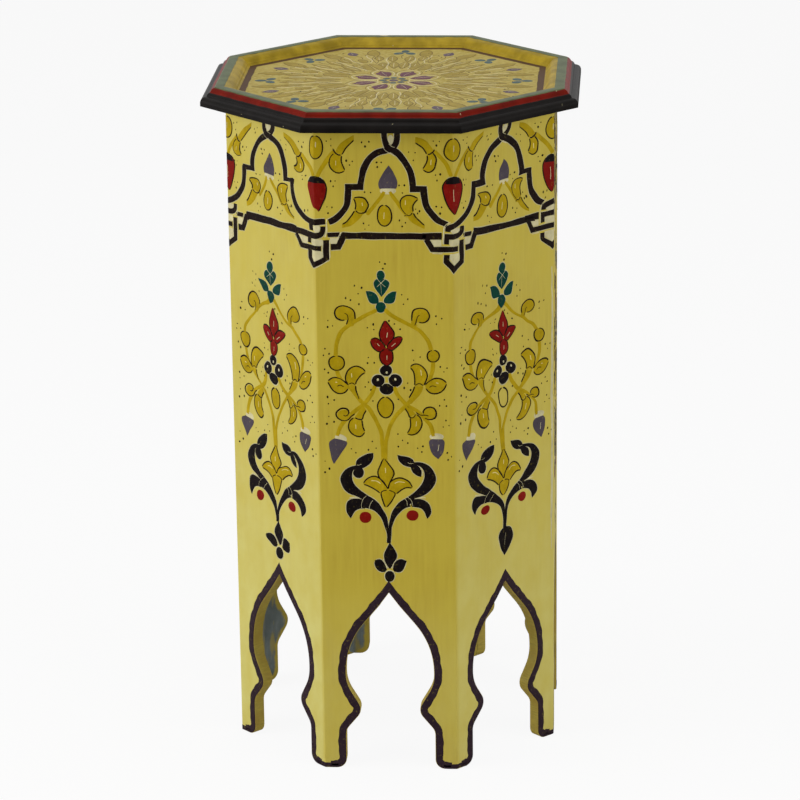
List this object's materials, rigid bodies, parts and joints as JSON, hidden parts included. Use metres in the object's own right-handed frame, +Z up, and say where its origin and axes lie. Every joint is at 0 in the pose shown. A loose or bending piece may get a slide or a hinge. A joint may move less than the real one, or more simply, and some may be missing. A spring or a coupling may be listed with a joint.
{
  "type": "moroccan table",
  "caption": "Tall eight-sided painted side table with lobed pointed arches between the feet and a moulded tray rim around a sunk deck.",
  "frame": {"origin": "on the floor below the middle of the deck", "axes": "+Z up; one board faces -Y; boards and rim pieces are numbered anticlockwise from it, seen from above"},
  "size_m": [0.2984, 0.2984, 0.55],
  "materials": {
    "painted_board": "yellow ochre ground with painted ornament under a satin varnish",
    "painted_rim": "black, red, green and ochre bands under a satin varnish",
    "painted_deck": "ochre ground with a painted rosette under an aged varnish",
    "bare_softwood": "sawn, unpainted",
    "brad_steel": "plain wire"
  },
  "bodies": {
    "root": {"side_board_1": "painted_board", "side_board_2": "painted_board", "side_board_3": "painted_board", "side_board_4": "painted_board", "side_board_5": "painted_board", "side_board_6": "painted_board", "side_board_7": "painted_board", "side_board_8": "painted_board", "rim_moulding_1": "painted_rim", "rim_moulding_2": "painted_rim", "rim_moulding_3": "painted_rim", "rim_moulding_4": "painted_rim", "rim_moulding_5": "painted_rim", "rim_moulding_6": "painted_rim", "rim_moulding_7": "painted_rim", "rim_moulding_8": "painted_rim", "deck": "painted_deck", "top_cleat_1": "bare_softwood", "top_cleat_2": "bare_softwood", "top_cleat_3": "bare_softwood", "top_cleat_4": "bare_softwood", "top_cleat_5": "bare_softwood", "top_cleat_6": "bare_softwood", "top_cleat_7": "bare_softwood", "top_cleat_8": "bare_softwood", "corner_block_1": "bare_softwood", "corner_block_2": "bare_softwood", "corner_block_3": "bare_softwood", "corner_block_4": "bare_softwood", "corner_block_5": "bare_softwood", "corner_block_6": "bare_softwood", "corner_block_7": "bare_softwood", "corner_block_8": "bare_softwood", "deck_brads": "brad_steel", "cleat_brads": "brad_steel"}
  },
  "joints": []
}
